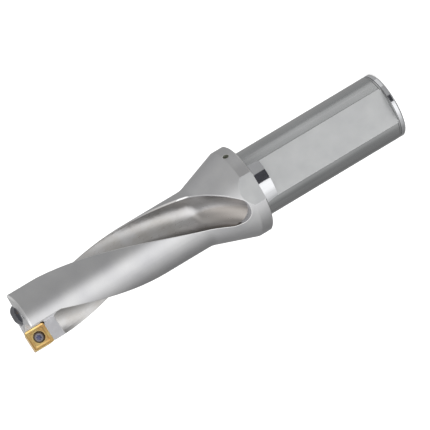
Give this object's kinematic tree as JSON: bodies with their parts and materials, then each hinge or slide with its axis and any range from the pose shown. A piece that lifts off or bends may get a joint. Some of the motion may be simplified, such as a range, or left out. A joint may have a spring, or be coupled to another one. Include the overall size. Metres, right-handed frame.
{
  "type": "indexable drill",
  "caption": "Straight-flanged-shank drill with helical chip flutes, coolant supply, and square carbide inserts screwed into its tip.",
  "frame": {"origin": "centre of the shank's end face, on the drill axis", "axes": "+Z along the drill axis from the shank towards the tip, -Y is the way the clamping flat faces"},
  "size_m": [0.034, 0.033, 0.1575],
  "materials": {
    "nickel_steel": "satin nickel plate on hardened steel, ground on the shank",
    "coated_carbide": "gold coloured titanium nitride coat on sintered carbide",
    "dark_carbide": "dark grey titanium aluminium nitride coat on sintered carbide",
    "screw_steel": "hardened steel, lightly blued"
  },
  "bodies": {
    "root": {"drill_body": "nickel_steel", "outer_insert": "coated_carbide", "inner_insert": "dark_carbide", "outer_insert_screw": "screw_steel", "inner_insert_screw": "screw_steel"}
  },
  "joints": []
}
